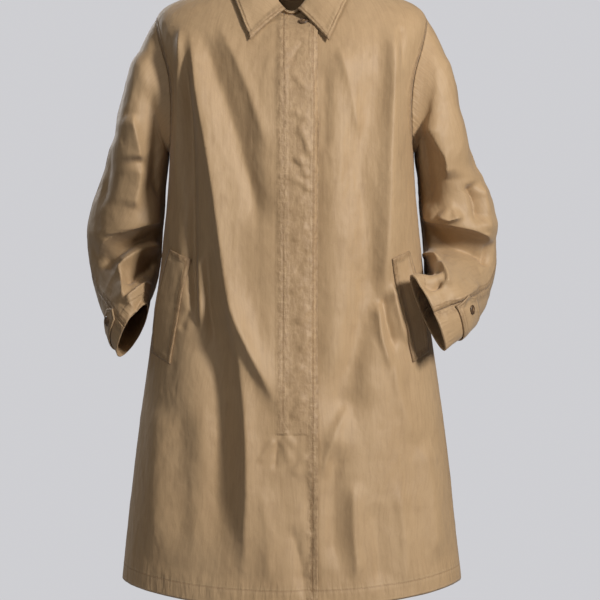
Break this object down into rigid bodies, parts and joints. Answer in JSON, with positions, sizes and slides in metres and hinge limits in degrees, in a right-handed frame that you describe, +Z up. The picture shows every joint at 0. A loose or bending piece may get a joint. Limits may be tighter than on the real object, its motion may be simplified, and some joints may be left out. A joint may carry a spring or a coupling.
{
  "type": "raincoat",
  "caption": "Knee-length raincoat with a pointed collar, a concealed front closing, slanted welt pockets and buttoned cuff tabs, held as worn with the hands at the pockets.",
  "frame": {"origin": "between the wearer's shoulders, level with the points where the shoulder seams meet the neck", "axes": "+X towards the wearer's left, -Y out of the front, +Z up"},
  "size_m": [0.7107, 0.3545, 1.0949],
  "materials": {
    "khaki_cotton": "tightly woven cotton with a faint sheen",
    "horn": "dark brown horn, polished"
  },
  "bodies": {
    "root": {"front_right": "khaki_cotton", "front_left": "khaki_cotton", "back": "khaki_cotton", "sleeve_front_left": "khaki_cotton", "sleeve_back_left": "khaki_cotton", "sleeve_front_right": "khaki_cotton", "sleeve_back_right": "khaki_cotton", "collar_stand": "khaki_cotton", "collar_fall": "khaki_cotton", "pocket_welt_left": "khaki_cotton", "pocket_welt_right": "khaki_cotton", "cuff_tab_left": "khaki_cotton", "cuff_tab_right": "khaki_cotton", "cuff_button_left": "horn", "cuff_button_right": "horn", "neck_button": "horn"}
  },
  "joints": []
}
